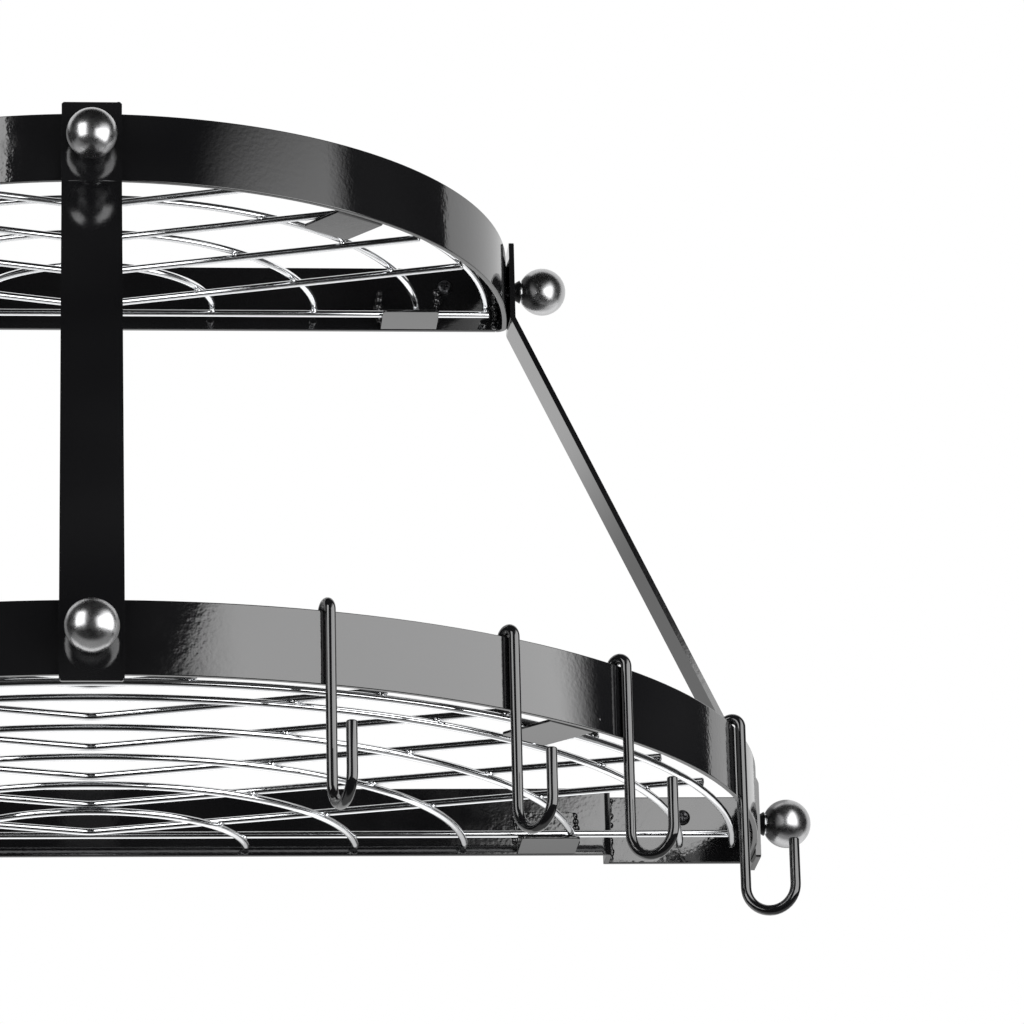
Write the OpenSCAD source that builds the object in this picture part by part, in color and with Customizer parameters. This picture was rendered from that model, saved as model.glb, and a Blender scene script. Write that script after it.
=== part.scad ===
// Wall-mounted pot rack: two half-round tiers of flat black bar, joined by three sloping straps,
// each tier with a lift-out wire grid, and eight hooks that slide along the lower band.
// X runs to the viewer's right, the wall face is y = 0, the rack reaches toward -Y, and Z is up.
// The origin is midway between the two upper wall screws. All sizes are millimetres.

/* [Flat bar] */
// Height of the flat bar that the bands and back bars are bent from
bar_h = 38; // [34:1:44]
// Thickness of the flat bar and of the straps
bar_t = 3; // [2.5:0.5:4]
// Outside radius of each corner where a bar turns
corner_r = 6; // [5:0.5:9]

/* [Tiers] */
// Outside radius of the upper half-round band
upper_r = 238.5; // [228:0.5:246]
// Outside radius of the lower half-round band
lower_r = 368; // [360:1:380]
// Rise from the lower tier to the upper tier
rise = 315; // [280:1:350]
// Straight run of the lower band from its curve back to the wall
end_run = 20; // [18:1:26]
// Width of the lower band's wall tabs, from the band's outside face inward
tab_reach = 82; // [74:1:90]
// Space behind the lower back bar
back_gap = 20; // [16:1:26]

/* [Straps] */
// Width of each strap
strap_w = 32; // [26:1:36]
// Height of each strap's top end above the upper band
strap_over = 5.5; // [4:0.5:12]
// Reach of each strap's foot below the lower band
strap_under = 4; // [2:0.5:8]
// Depth of the strap's upper bend below the upper band's underside
bend_drop = 2.5; // [0.5:0.5:6]
// Cut at the two bottom corners of each strap
strap_chamfer = 1; // [0.5:0.5:6]
// Cut at the two top corners of each strap
strap_top_chamfer = 1; // [0.5:0.5:6]

/* [Ball finials] */
// Diameter of each ball
ball_d = 27; // [22:0.5:32]
// Diameter of the flat seat on each ball
ball_seat_d = 13; // [12.5:0.5:16]
// Diameter of the flared washer where it meets the strap
washer_small_d = 9; // [8:0.5:11]
// Diameter of the flared washer where it meets the ring
washer_big_d = 13.5; // [12:0.5:16]
// Length of the flared washer
washer_len = 4; // [2.5:0.5:6]
// Diameter of the bright ring between washer and ball
ring_d = 12.5; // [11:0.5:13.5]
// Thickness of the bright ring
ring_t = 1; // [0.8:0.1:2]

/* [Bolts] */
// Diameter of the bolts that hold the straps and balls
bolt_d = 6; // [5:0.5:7]
// Diameter of the bolt head on the band's inside face
bolt_head_d = 9; // [9:0.5:11]
// Height of the bolt head
bolt_head_h = 2.6; // [2:0.2:3.4]
// Depth that the bolt reaches into the ball
bolt_in_ball = 12; // [8:0.5:16]
// Radial play of a bolt in its hole
bolt_play = 0.1; // [0.05:0.05:0.3]

/* [Wall screws] */
// Spacing of the two upper wall screws, centre to centre
upper_screw_pitch = 406.4; // [404:0.2:412]
// Distance of each lower wall screw inward from the band's outside face
lower_screw_inset = 37; // [30:1:50]
// Height of the wall screws above the underside of the bar
screw_h = 26; // [22:1:29]
// Diameter of the wall screw's shank behind the wall face
screw_d = 4.2; // [3.5:0.1:4.6]
// Diameter of the wall screw's neck inside the bar
screw_neck_d = 4.7; // [4.6:0.1:4.9]
// Diameter of the hole in the bar for a wall screw
screw_hole_d = 5; // [5:0.1:6]
// Diameter of the wall screw's head
screw_head_d = 8.6; // [7.6:0.2:10]
// Height of the wall screw's head
screw_head_h = 2.8; // [2.2:0.2:3.6]
// Length of screw shank behind the wall face
screw_reach = 38; // [25:1:60]

/* [Grid clips] */
// Width of each angle clip
clip_w = 32; // [24:1:36]
// Depth of an upper clip's level leg, from the band toward the middle
upper_clip_reach = 31; // [26:1:38]
// Depth of a lower clip's level leg, from the band toward the middle
lower_clip_reach = 36; // [30:1:40]
// Height of the clip's upright leg
clip_h = 24; // [18:1:28]
// Thickness of the clip
clip_t = 1.5; // [1.2:0.1:2]
// Angle of the upper front clips from straight ahead
upper_clip_az = 38.5; // [36:0.5:41]
// Angle of the lower front clips from straight ahead
lower_clip_az = 42; // [30:0.5:50]
// Space between each upper back clip and the wall screw beside it
clip_screw_gap = 1; // [0.5:0.5:6]
// Distance of the lower back clips from the middle
lower_clip_x = 252; // [248:0.5:262]

/* [Wire grids] */
// Diameter of the grid wire
grid_wire_d = 4; // [3:0.5:5]
// Radial distance from the band's inside face to the rim wire's centre line
rim_play = 9.5; // [9:0.5:16]
// Distance of the upper rim wire's centre from the wall
upper_ring_y = 4; // [2:0.5:5]
// Distance of the lower rim wire's centre from the wall
lower_ring_y = 6; // [4:0.5:18]
// How far the smallest ring wire's centre stands ahead of the rim's
ring_lead = 15; // [8:0.5:18]
// Radius of the smallest ring wire in the upper grid
upper_ring_first = 69; // [55:1:80]
// Radius of the smallest ring wire in the lower grid
lower_ring_first = 86; // [75:1:95]
// Spacing of the upper ring wires
upper_ring_pitch = 58.5; // [56:0.5:62]
// Spacing of the lower ring wires
lower_ring_pitch = 60.5; // [56:0.5:62]
// Distance of the second rim wire inside the lower rim
twin_rim_gap = 29; // [22:1:36]
// Distance of the first upper vee wire's point from the wall
upper_vee_first = 33; // [24:1:36]
// Spacing of the upper vee wires
upper_vee_pitch = 52.5; // [50:0.5:60]
// Distance of the first lower vee wire's point from the wall
lower_vee_first = 48; // [44:1:60]
// Spacing of the lower vee wires
lower_vee_pitch = 59; // [54:1:61]
// Forward slope of a vee wire's arms
vee_angle = 18; // [10:0.5:22]
// Distance of the ring wires' ends from the back bar's front face
ring_end_gap = 6; // [4:0.5:8]
// Distance of the back wire's centre line from the back bar's front face
back_wire_gap = 17; // [14:0.5:18]
// Depth that crossing wires are welded into each other
weld_bite = 0.3; // [0.1:0.1:0.6]

/* [Hooks] */
// Diameter of the hook wire
hook_wire_d = 5.6; // [4.5:0.1:6.5]
// Reach of the hook below the lower band
hook_drop = 67; // [50:1:90]
// Width of the hook's bottom bend, centre line to centre line
hook_w = 27; // [20:1:36]
// Height of the hook's tip above its lowest point
hook_tip_h = 41; // [30:1:50]
// Angles of the four hooks on each side from straight ahead
hook_az = [18.4, 34.8, 47.5, 69]; // [10:0.1:80]

/* [Clearances] */
// Gap between the band's outside face and a hook's shank
hook_play = 0.3; // [0.2:0.05:0.6]
// Gap between the band's inside face and a hook's short leg
hook_inner_play = 0.6; // [0.4:0.05:1]
// Height of the hook's short leg above the clips
hook_leg_clear = 2.5; // [1:0.5:5]
// Gap between a grid and the clips it rests on
rest_gap = 0.3; // [0.2:0.05:0.5]
// Gap between a flat part and the curved band it is fastened to
seat_gap = 0.1; // [0.05:0.05:0.2]

/* [Hidden] */

// Facets of large arcs, of wires and small round parts, and of balls
arc_fn = 180;
wire_fn = 32;
small_fn = 48;
ball_fn = 72;
// Overshoot of a cutting shape past the face it cuts
cut = 1;

// Colours of the finishes
enamel = [0.06, 0.06, 0.065];
hook_black = [0.04, 0.04, 0.045];
bright_wire = [0.82, 0.83, 0.85];
satin_steel = [0.72, 0.72, 0.73];
dark_screw = [0.12, 0.12, 0.13];

// Undersides of the two tiers
upper_z = -screw_h;
lower_z = upper_z - rise;
// Tier and side codes
UP = 1;
LOW = 0;
LEFT = -1;
MIDDLE = 0;
RIGHT = 1;

// Straps stand flush with the wall at the sides
side_y = strap_w / 2;
// Front faces of the back bars, as distances from the wall
upper_bar_front = bar_t;
lower_bar_front = back_gap + bar_t;
// Inner ends of the wall tabs
tab_end = lower_r - tab_reach;
// Ends of the upper back bar, where the band's corners begin
upper_bar_end = upper_r - corner_r;
// Lengths along a ball's axis, from the strap's outside face
ball_base = washer_len + ring_t;
ball_rise = sqrt(pow(ball_d / 2, 2) - pow(ball_seat_d / 2, 2));
bolt_hole_d = bolt_d + 2 * bolt_play;

function tier_z(tier) = tier == UP ? upper_z : lower_z;
function tier_r(tier) = tier == UP ? upper_r : lower_r;
// Distance of a tier's centre of curvature from the wall
function tier_y(tier) = tier == UP ? 0 : end_run;
function bar_front(tier) = tier == UP ? upper_bar_front : lower_bar_front;
// Wall screws, and the back clips beside them, as distances from the middle
function screw_x(tier) = tier == UP ? upper_screw_pitch / 2 : lower_r - lower_screw_inset;
function back_clip_x(tier) =
    tier == UP ? screw_x(UP) - screw_head_d / 2 - clip_screw_gap - clip_w / 2 : lower_clip_x;
// Outside face of the band at the front, as a distance from the wall
function band_front(tier) = tier_y(tier) + tier_r(tier);
// Strap's inside face, measured from the wall at the front or from the middle at the sides
function strap_face(tier, side) = side == MIDDLE ? band_front(tier) : tier_r(tier);
// Where a flat seat meets the band's inside face, as a depth behind the strap
function seat_depth(tier, half_width, off_centre) =
    tier_r(tier) - sqrt(pow(tier_r(tier) - bar_t, 2) - pow(half_width + off_centre, 2)) + seat_gap;
// How far a side bolt lies past the start of the band's curve
function side_offset(tier) = side_y - tier_y(tier);

function ring_y(tier) = tier == UP ? upper_ring_y : lower_ring_y;
function rim_r(tier) = tier_r(tier) - bar_t - rim_play;
function ring_first(tier) = tier == UP ? upper_ring_first : lower_ring_first;
function ring_pitch(tier) = tier == UP ? upper_ring_pitch : lower_ring_pitch;
// The outermost even ring stays this far inside the rim
function ring_margin(tier) = ring_pitch(tier) / 2 + (tier == UP ? 0 : twin_rim_gap);
function ring_count(tier) =
    floor((rim_r(tier) - ring_margin(tier) - ring_first(tier)) / ring_pitch(tier)) + 1;
function ring_radii(tier) = concat(
    [for (i = [0 : ring_count(tier) - 1]) ring_first(tier) + i * ring_pitch(tier)],
    tier == UP ? [] : [rim_r(tier) - twin_rim_gap],
    [rim_r(tier)]
);
// Distance of a ring wire's centre from the wall, with the full lead at the smallest ring only
function ring_centre(tier, r) =
    ring_y(tier) + ring_lead * pow((rim_r(tier) - r) / (rim_r(tier) - ring_first(tier)), 1.5);
function vee_first(tier) = tier == UP ? upper_vee_first : lower_vee_first;
function vee_pitch(tier) = tier == UP ? upper_vee_pitch : lower_vee_pitch;
vee_margin = 15;
function rim_front(tier) = ring_y(tier) + rim_r(tier);
function vee_count(tier) = floor((rim_front(tier) - vee_margin - vee_first(tier)) / vee_pitch(tier)) + 1;
// Length of a vee's arm from its point to the rim wire's outside
function vee_arm(tier, ahead) =
    sqrt(pow(rim_r(tier) + grid_wire_d / 2, 2) - pow(ahead * cos(vee_angle), 2)) - ahead * sin(vee_angle);
// Centre heights of the bottom and top layers of wire
layer_low = clip_t + rest_gap + grid_wire_d / 2;
layer_high = layer_low + grid_wire_d - weld_bite;
// The lower grid has its rings underneath, and the upper grid has its vees underneath
function ring_z(tier) = tier_z(tier) + (tier == UP ? layer_high : layer_low);
function vee_z(tier) = tier_z(tier) + (tier == UP ? layer_low : layer_high);

// Hook centre lines, measured from the lower band's centre of curvature
hook_shank_r = lower_r + hook_play + hook_wire_d / 2;
hook_leg_r = lower_r - bar_t - hook_inner_play - hook_wire_d / 2;
// The top bend's centre lies a little below the band's top edge
hook_sink = 0.5;
hook_top_z = lower_z + bar_h - hook_sink;
hook_bottom_z = lower_z - hook_drop + hook_wire_d / 2 + hook_w / 2;
hook_tip_z = lower_z - hook_drop + hook_tip_h;
hook_leg_z = lower_z + clip_h + hook_leg_clear;

// A flat bar bent on edge through part of a circle, standing on z = 0
module bent_bar(r, from, turn) {
    rotate([0, 0, from])
        rotate_extrude(angle = turn, $fn = arc_fn)
            translate([r - bar_t, 0])
                square([bar_t, bar_h]);
}

// A straight flat bar standing on z = 0 between two corners in plan
module straight_bar(x0, y0, x1, y1) {
    translate([x0, y0, 0])
        cube([x1 - x0, y1 - y0, bar_h]);
}

module both_sides() {
    children();
    mirror([1, 0, 0])
        children();
}

// Puts its children on a strap's fastening: z = 0 at the strap's inside face, +Z outward
module at_post(tier, side) {
    height = tier_z(tier) + bar_h / 2;
    if (side == MIDDLE)
        translate([0, -strap_face(tier, side), height])
            rotate([90, 0, 0])
                children();
    else
        translate([side * strap_face(tier, side), -side_y, height])
            rotate([0, side * 90, 0])
                children();
}

module each_post(tier) {
    for (side = [LEFT, MIDDLE, RIGHT])
        at_post(tier, side)
            children();
}

// Holes for the three bolts of one tier
module post_holes(tier) {
    reach = 6 * bar_t;
    each_post(tier)
        translate([0, 0, -reach])
            cylinder(d = bolt_hole_d, h = 2 * reach, $fn = small_fn);
}

// Puts its children at a wall screw's axis: z = 0 at the wall face, +Z into the wall
module at_wall(x, tier) {
    translate([x, 0, tier_z(tier) + screw_h])
        rotate([-90, 0, 0])
            children();
}

module screw_hole(x, tier) {
    at_wall(x, tier)
        translate([0, 0, -bar_t - cut])
            cylinder(d = screw_hole_d, h = bar_t + 2 * cut, $fn = small_fn);
}

// A low domed head with a cross recess, flat on z = 0 and standing up toward +Z
module pan_head(d, h) {
    dome = h * 0.4;
    slot_w = d * 0.12;
    slot_len = d * 0.55;
    slot_depth = h * 0.55;
    difference() {
        union() {
            cylinder(d = d, h = h - dome, $fn = small_fn);
            translate([0, 0, h - dome])
                cylinder(d1 = d, d2 = d * 0.7, h = dome, $fn = small_fn);
        }
        for (turn = [0, 90])
            rotate([0, 0, turn])
                translate([-slot_len / 2, -slot_w / 2, h - slot_depth])
                    cube([slot_len, slot_w, slot_depth + cut]);
    }
}

module upper_band() {
    color(enamel)
        difference() {
            translate([0, 0, upper_z])
                union() {
                    difference() {
                        bent_bar(upper_r, 180, 180);
                        straight_bar(-upper_r - cut, -corner_r, upper_r + cut, cut);
                    }
                    both_sides()
                        translate([upper_bar_end, -corner_r, 0])
                            bent_bar(corner_r, 0, 90);
                }
            post_holes(UP);
        }
}

module upper_back_bar() {
    color(enamel)
        difference() {
            translate([0, 0, upper_z])
                straight_bar(-upper_bar_end, -bar_t, upper_bar_end, 0);
            for (side = [LEFT, RIGHT])
                screw_hole(side * screw_x(UP), UP);
        }
}

module lower_band() {
    color(enamel)
        difference() {
            translate([0, 0, lower_z])
                union() {
                    translate([0, -end_run, 0])
                        bent_bar(lower_r, 180, 180);
                    both_sides() {
                        straight_bar(lower_r - bar_t, -end_run, lower_r, -corner_r);
                        translate([lower_r - corner_r, -corner_r, 0])
                            bent_bar(corner_r, 0, 90);
                        straight_bar(tab_end, -bar_t, lower_r - corner_r, 0);
                    }
                }
            post_holes(LOW);
            for (side = [LEFT, RIGHT])
                screw_hole(side * screw_x(LOW), LOW);
        }
}

module lower_back_bar() {
    end_x = tab_end + bar_t;
    color(enamel)
        translate([0, 0, lower_z])
            union() {
                straight_bar(corner_r - end_x, -lower_bar_front, end_x - corner_r, -back_gap);
                both_sides() {
                    translate([end_x - corner_r, corner_r - lower_bar_front, 0])
                        bent_bar(corner_r, -90, 90);
                    straight_bar(tab_end, corner_r - lower_bar_front, end_x, -bar_t);
                }
            }
}

// A strap seen from the side: x is the distance outward, y is the height
module strap_profile(face_up, face_low) {
    bend_up = upper_z - bend_drop;
    bend_low = lower_z + bar_h;
    slope = atan2(face_low - face_up, bend_up - bend_low);
    lift = bar_t * tan(slope / 2);
    top = upper_z + bar_h + strap_over;
    foot = lower_z - strap_under;
    polygon([
        [face_up, top], [face_up, bend_up], [face_low, bend_low], [face_low, foot],
        [face_low + bar_t, foot], [face_low + bar_t, bend_low + lift],
        [face_up + bar_t, bend_up + lift], [face_up + bar_t, top]
    ]);
}

// A strap seen from the front, with its four corners cut
module strap_front() {
    half = strap_w / 2;
    low_inset = half - strap_chamfer;
    top_inset = half - strap_top_chamfer;
    top = upper_z + bar_h + strap_over;
    foot = lower_z - strap_under;
    polygon([
        [-low_inset, foot], [low_inset, foot], [half, foot + strap_chamfer],
        [half, top - strap_top_chamfer], [top_inset, top],
        [-top_inset, top], [-half, top - strap_top_chamfer], [-half, foot + strap_chamfer]
    ]);
}

// A strap with +X outward, standing across the XZ plane
module strap(side) {
    face_up = strap_face(UP, side);
    face_low = strap_face(LOW, side);
    intersection() {
        translate([0, strap_w / 2, 0])
            rotate([90, 0, 0])
                linear_extrude(strap_w)
                    strap_profile(face_up, face_low);
        translate([face_up - cut, 0, 0])
            rotate([90, 0, 90])
                linear_extrude(face_low - face_up + bar_t + 2 * cut)
                    strap_front();
    }
}

module centre_strap() {
    color(enamel)
        difference() {
            rotate([0, 0, -90])
                strap(MIDDLE);
            for (tier = [UP, LOW])
                post_holes(tier);
        }
}

module side_strap(side) {
    color(enamel)
        difference() {
            translate([0, -side_y, 0])
                rotate([0, 0, side == RIGHT ? 0 : 180])
                    strap(side);
            for (tier = [UP, LOW])
                post_holes(tier);
        }
}

// A ball with a flat seat and a blind hole for its bolt
module ball(tier, side) {
    bore_depth = bolt_in_ball + cut;
    color(satin_steel)
        at_post(tier, side)
            translate([0, 0, bar_t + ball_base])
                difference() {
                    translate([0, 0, ball_rise])
                        sphere(d = ball_d, $fn = ball_fn);
                    translate([-ball_d / 2, -ball_d / 2, -ball_d])
                        cube(ball_d);
                    translate([0, 0, -cut])
                        cylinder(d = bolt_hole_d, h = bore_depth + cut, $fn = small_fn);
                }
}

module flared_washers(tier) {
    color(enamel)
        each_post(tier)
            translate([0, 0, bar_t])
                difference() {
                    cylinder(d1 = washer_small_d, d2 = washer_big_d, h = washer_len, $fn = small_fn);
                    translate([0, 0, -cut])
                        cylinder(d = bolt_hole_d, h = washer_len + 2 * cut, $fn = small_fn);
                }
}

module ball_rings(tier) {
    color(bright_wire)
        each_post(tier)
            translate([0, 0, bar_t + washer_len])
                difference() {
                    cylinder(d = ring_d, h = ring_t, $fn = small_fn);
                    translate([0, 0, -cut])
                        cylinder(d = bolt_hole_d, h = ring_t + 2 * cut, $fn = small_fn);
                }
}

// A bolt from the band's inside face, through strap, washer and ring, into the ball
module strap_bolt(tier, side) {
    off_centre = side == MIDDLE ? 0 : side_offset(tier);
    half_seat = max(bolt_head_d / 2, -off_centre);
    depth = seat_depth(tier, half_seat, off_centre);
    at_post(tier, side)
        translate([0, 0, -depth]) {
            cylinder(d = bolt_d, h = depth + bar_t + ball_base + bolt_in_ball, $fn = small_fn);
            mirror([0, 0, 1])
                pan_head(bolt_head_d, bolt_head_h);
        }
}

module strap_bolts(tier) {
    color(dark_screw)
        for (side = [LEFT, MIDDLE, RIGHT])
            strap_bolt(tier, side);
}

// A wall screw with its head on the bar and its shank through the wall face
module wall_screw(x, tier) {
    tip_len = 2 * screw_d;
    at_wall(x, tier) {
        translate([0, 0, -bar_t])
            mirror([0, 0, 1])
                pan_head(screw_head_d, screw_head_h);
        translate([0, 0, -bar_t])
            cylinder(d = screw_neck_d, h = bar_t, $fn = small_fn);
        cylinder(d = screw_d, h = screw_reach - tip_len, $fn = small_fn);
        translate([0, 0, screw_reach - tip_len])
            cylinder(d1 = screw_d, d2 = screw_d / 6, h = tip_len, $fn = small_fn);
    }
}

module wall_screws(tier) {
    color(dark_screw)
        for (side = [LEFT, RIGHT])
            wall_screw(side * screw_x(tier), tier);
}

// An angle clip: upright leg's back on x = 0, level leg toward -X along z = 0
module clip(reach) {
    translate([-clip_t, -clip_w / 2, 0])
        cube([clip_t, clip_w, clip_h]);
    translate([-reach, -clip_w / 2, 0])
        cube([reach, clip_w, clip_t]);
}

// Two clips on the curved front of a tier and two on its back bar
module clips(tier, az) {
    reach = tier == UP ? upper_clip_reach : lower_clip_reach;
    chord = tier_r(tier) - seat_depth(tier, clip_w / 2, 0);
    color(enamel)
        translate([0, 0, tier_z(tier)])
            for (side = [LEFT, RIGHT]) {
                translate([0, -tier_y(tier), 0])
                    rotate([0, 0, side * az - 90])
                        translate([chord, 0, 0])
                            clip(reach);
                translate([side * back_clip_x(tier), -bar_front(tier), 0])
                    rotate([0, 0, 90])
                        clip(reach);
            }
}

// A ring wire open toward the wall
module ring_wire(r, turn_in) {
    rotate([0, 0, 180 + turn_in])
        rotate_extrude(angle = 180 - 2 * turn_in, $fn = arc_fn)
            translate([r, 0])
                circle(d = grid_wire_d, $fn = wire_fn);
}

module grid_rings(tier) {
    end_y = bar_front(tier) + ring_end_gap;
    color(bright_wire)
        for (r = ring_radii(tier)) {
            centre = ring_centre(tier, r);
            translate([0, -centre, ring_z(tier)])
                ring_wire(r, asin((end_y - centre) / r));
        }
}

// A vee wire with its point at the origin and its arms toward both sides of the front
module vee_wire(arm) {
    sphere(d = grid_wire_d, $fn = wire_fn);
    both_sides()
        rotate([0, 0, -vee_angle])
            rotate([0, 90, 0])
                cylinder(d = grid_wire_d, h = arm, $fn = wire_fn);
}

module grid_vees(tier) {
    color(bright_wire)
        for (i = [0 : vee_count(tier) - 1]) {
            ahead = vee_first(tier) + i * vee_pitch(tier);
            translate([0, -ahead, vee_z(tier)])
                vee_wire(vee_arm(tier, ahead - ring_y(tier)));
        }
}

module grid_back_wire(tier) {
    ahead = bar_front(tier) + back_wire_gap;
    half = sqrt(pow(rim_r(tier) + grid_wire_d / 2, 2) - pow(ahead - ring_y(tier), 2));
    color(bright_wire)
        translate([-half, -ahead, vee_z(tier)])
            rotate([0, 90, 0])
                cylinder(d = grid_wire_d, h = 2 * half, $fn = wire_fn);
}

// A bend of hook wire in the upright plane through the rack's middle
module hook_bend(x, z, r, from) {
    translate([x, 0, z])
        rotate([90, 0, 0])
            rotate([0, 0, from])
                rotate_extrude(angle = 180, $fn = small_fn)
                    translate([r, 0])
                        circle(d = hook_wire_d, $fn = wire_fn);
}

module hook_run(x, z0, z1) {
    translate([x, 0, z0])
        cylinder(d = hook_wire_d, h = z1 - z0, $fn = wire_fn);
}

module hook_end(x, z) {
    translate([x, 0, z])
        sphere(d = hook_wire_d, $fn = wire_fn);
}

// A hook at an angle from straight ahead: over the band, down its outside and up again
module hook(az) {
    ball_in = hook_wire_d / 2;
    tip_x = hook_shank_r + hook_w;
    color(hook_black)
        translate([0, -end_run, 0])
            rotate([0, 0, az - 90]) {
                hook_bend((hook_leg_r + hook_shank_r) / 2, hook_top_z, (hook_shank_r - hook_leg_r) / 2, 0);
                hook_run(hook_leg_r, hook_leg_z + ball_in, hook_top_z);
                hook_end(hook_leg_r, hook_leg_z + ball_in);
                hook_run(hook_shank_r, hook_bottom_z, hook_top_z);
                hook_bend(hook_shank_r + hook_w / 2, hook_bottom_z, hook_w / 2, 180);
                hook_run(tip_x, hook_bottom_z, hook_tip_z - ball_in);
                hook_end(tip_x, hook_tip_z - ball_in);
            }
}

upper_band();
upper_back_bar();
lower_band();
lower_back_bar();
centre_strap();
side_strap(LEFT);  // left_strap
side_strap(RIGHT);  // right_strap
ball(UP, MIDDLE);  // upper_centre_ball
ball(UP, LEFT);  // upper_left_ball
ball(UP, RIGHT);  // upper_right_ball
ball(LOW, MIDDLE);  // lower_centre_ball
ball(LOW, LEFT);  // lower_left_ball
ball(LOW, RIGHT);  // lower_right_ball
flared_washers(UP);  // upper_flared_washers
flared_washers(LOW);  // lower_flared_washers
ball_rings(UP);  // upper_ball_rings
ball_rings(LOW);  // lower_ball_rings
strap_bolts(UP);  // upper_strap_bolts
strap_bolts(LOW);  // lower_strap_bolts
wall_screws(UP);  // upper_wall_screws
wall_screws(LOW);  // lower_wall_screws
clips(UP, upper_clip_az);  // upper_clips
clips(LOW, lower_clip_az);  // lower_clips
grid_rings(UP);  // upper_grid_rings
grid_vees(UP);  // upper_grid_vees
grid_back_wire(UP);  // upper_grid_back_wire
grid_rings(LOW);  // lower_grid_rings
grid_vees(LOW);  // lower_grid_vees
grid_back_wire(LOW);  // lower_grid_back_wire
hook(hook_az[0]);  // hook_right_1
hook(hook_az[1]);  // hook_right_2
hook(hook_az[2]);  // hook_right_3
hook(hook_az[3]);  // hook_right_4
hook(-hook_az[0]);  // hook_left_1
hook(-hook_az[1]);  // hook_left_2
hook(-hook_az[2]);  // hook_left_3
hook(-hook_az[3]);  // hook_left_4
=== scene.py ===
# Wall-mounted pot rack: two half-round tiers of black enamelled bar, with chrome wire grids,
# sloping straps with satin balls, and eight black wire hooks. Lengths are millimetres unless
# a name says otherwise, in the part's own frame: X to the viewer's right, -Y off the wall, Z up.
import math

import bpy
import bmesh
from mathutils import Matrix, Vector


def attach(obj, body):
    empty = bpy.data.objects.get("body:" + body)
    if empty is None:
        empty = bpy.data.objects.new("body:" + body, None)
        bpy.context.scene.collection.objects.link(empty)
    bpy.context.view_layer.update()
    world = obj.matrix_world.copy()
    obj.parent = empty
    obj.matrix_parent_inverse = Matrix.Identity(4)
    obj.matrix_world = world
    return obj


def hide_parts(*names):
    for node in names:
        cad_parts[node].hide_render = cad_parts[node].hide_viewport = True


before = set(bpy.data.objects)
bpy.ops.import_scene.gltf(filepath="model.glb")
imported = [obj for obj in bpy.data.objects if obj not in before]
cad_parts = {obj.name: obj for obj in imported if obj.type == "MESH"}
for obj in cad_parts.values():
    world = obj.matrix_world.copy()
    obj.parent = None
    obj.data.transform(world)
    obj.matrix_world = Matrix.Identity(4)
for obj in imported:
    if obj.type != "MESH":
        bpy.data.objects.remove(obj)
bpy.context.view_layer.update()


# Room: floor, lamps and camera
# A pale studio floor far under the rack, white all round it, big soft lamps in front and white
# boards behind the wall plane. The camera looks up from below, as in the photograph.
MM = 0.001
FLOOR_HEIGHT = -1950
FLOOR_HALF = 4500
FLOOR_TONE = (0.8, 0.8, 0.8, 1)
FLOOR_ROUGHNESS = 0.7
# What the camera sees of the floor is lifted this much towards white
FLOOR_LIFT = 0.45
# In the metal's reflections the floor goes dark between these distances from the wall
DARK_FROM, DARK_TO = -450, -850
DARK_TONE = (0.02, 0.02, 0.02, 1)
ROOM_LIGHT = 0.45
ROOM_IN_METAL = 0.012
# The photograph's own camera, with its turns in radians and its focal length in pixels
CAMERA_AT = (-5.98, -2916.65, -1061.75)
CAMERA_PITCH, CAMERA_YAW, CAMERA_ROLL = 0.306824, 0.083972, -0.023507
FOCAL_LENGTH = 5388.6
PHOTO_WIDTH = 1024
SENSOR_WIDTH = 36

scene = bpy.context.scene
scene.view_settings.view_transform = "Standard"


def shown(name, mesh):
    thing = bpy.data.objects.new(name, mesh)
    scene.collection.objects.link(thing)
    return thing


def mesh_of(name, points, edges=(), faces=()):
    mesh = bpy.data.meshes.new(name)
    mesh.from_pydata([Vector(p) * MM for p in points], edges, faces)
    return mesh


def node(tree, kind, links=None, **values):
    """Adds a node to a tree. A value is set by its input's name, a link comes from a socket."""
    made = tree.nodes.new(kind)
    for name, value in values.items():
        setattr(made, name, value)
    for name, value in (links or {}).items():
        if isinstance(value, bpy.types.NodeSocket):
            tree.links.new(value, made.inputs[name])
        else:
            made.inputs[name].default_value = value
    return made


def times(tree, one, other):
    return node(tree, "ShaderNodeMath", {0: one, 1: other}, operation="MULTIPLY").outputs[0]


def spread(tree, value, low, high, from_low=0.3, from_high=0.7):
    """Maps a grain's usual range, or another one, to new ends."""
    ends = {"From Min": from_low, "From Max": from_high, "To Min": low, "To Max": high}
    return node(tree, "ShaderNodeMapRange", {"Value": value, **ends}).outputs["Result"]


def mixed(tree, share, first, second):
    """One colour where the share is 0, and another where it is 1."""
    made = node(tree, "ShaderNodeMix", {0: share, 6: first, 7: second}, data_type="RGBA")
    return made.outputs[2]


def new_finish(name, **constants):
    """A material whose even values sit on the shader's own sockets."""
    finish = bpy.data.materials.new(name)
    finish.use_nodes = True
    shader = finish.node_tree.nodes["Principled BSDF"]
    for socket, value in constants.items():
        shader.inputs[socket.replace("_", " ")].default_value = value
    place = node(finish.node_tree, "ShaderNodeTexCoord").outputs["Object"]
    return finish, finish.node_tree, shader, place


def camera_axes(pitch, yaw, roll):
    """The camera's turn: its right, its up, and its back."""
    sin_p, cos_p = math.sin(pitch), math.cos(pitch)
    sin_y, cos_y = math.sin(yaw), math.cos(yaw)
    ahead = Vector((cos_p * sin_y, cos_p * cos_y, sin_p))
    level = Vector((cos_y, -sin_y, 0))
    above = Vector((-sin_p * sin_y, -sin_p * cos_y, cos_p))
    right = level * math.cos(roll) + above * math.sin(roll)
    up = above * math.cos(roll) - level * math.sin(roll)
    return Matrix((right, up, -ahead)).transposed()


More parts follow.
